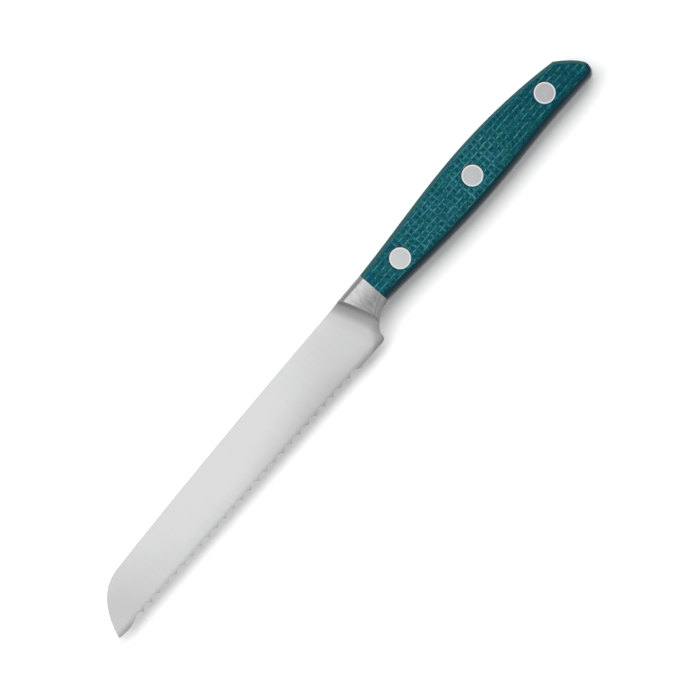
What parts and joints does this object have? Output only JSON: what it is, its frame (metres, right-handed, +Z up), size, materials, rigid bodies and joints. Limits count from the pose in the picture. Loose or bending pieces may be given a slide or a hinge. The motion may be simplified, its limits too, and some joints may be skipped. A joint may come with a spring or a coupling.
{
  "type": "serrated utility knife",
  "caption": "Kitchen utility knife with a serrated sheepsfoot blade, forged bolster, full tang and canvas-laminate handle scales held by cutler's rivets.",
  "frame": {"origin": "middle of the underside of the overall box, with the knife lying on its right face", "axes": "+X from the tip to the butt, +Y from the cutting edge to the spine, +Z up out of the left face"},
  "size_m": [0.238, 0.022, 0.013],
  "materials": {
    "blade_steel": "satin",
    "canvas_laminate": "satin, woven canvas showing through clear resin",
    "rivet_steel": "satin"
  },
  "bodies": {
    "root": {"forged_blade": "blade_steel", "left_scale": "canvas_laminate", "right_scale": "canvas_laminate", "rivet_front_pin": "rivet_steel", "rivet_front_tube": "rivet_steel", "rivet_middle_pin": "rivet_steel", "rivet_middle_tube": "rivet_steel", "rivet_rear_pin": "rivet_steel", "rivet_rear_tube": "rivet_steel"}
  },
  "joints": []
}
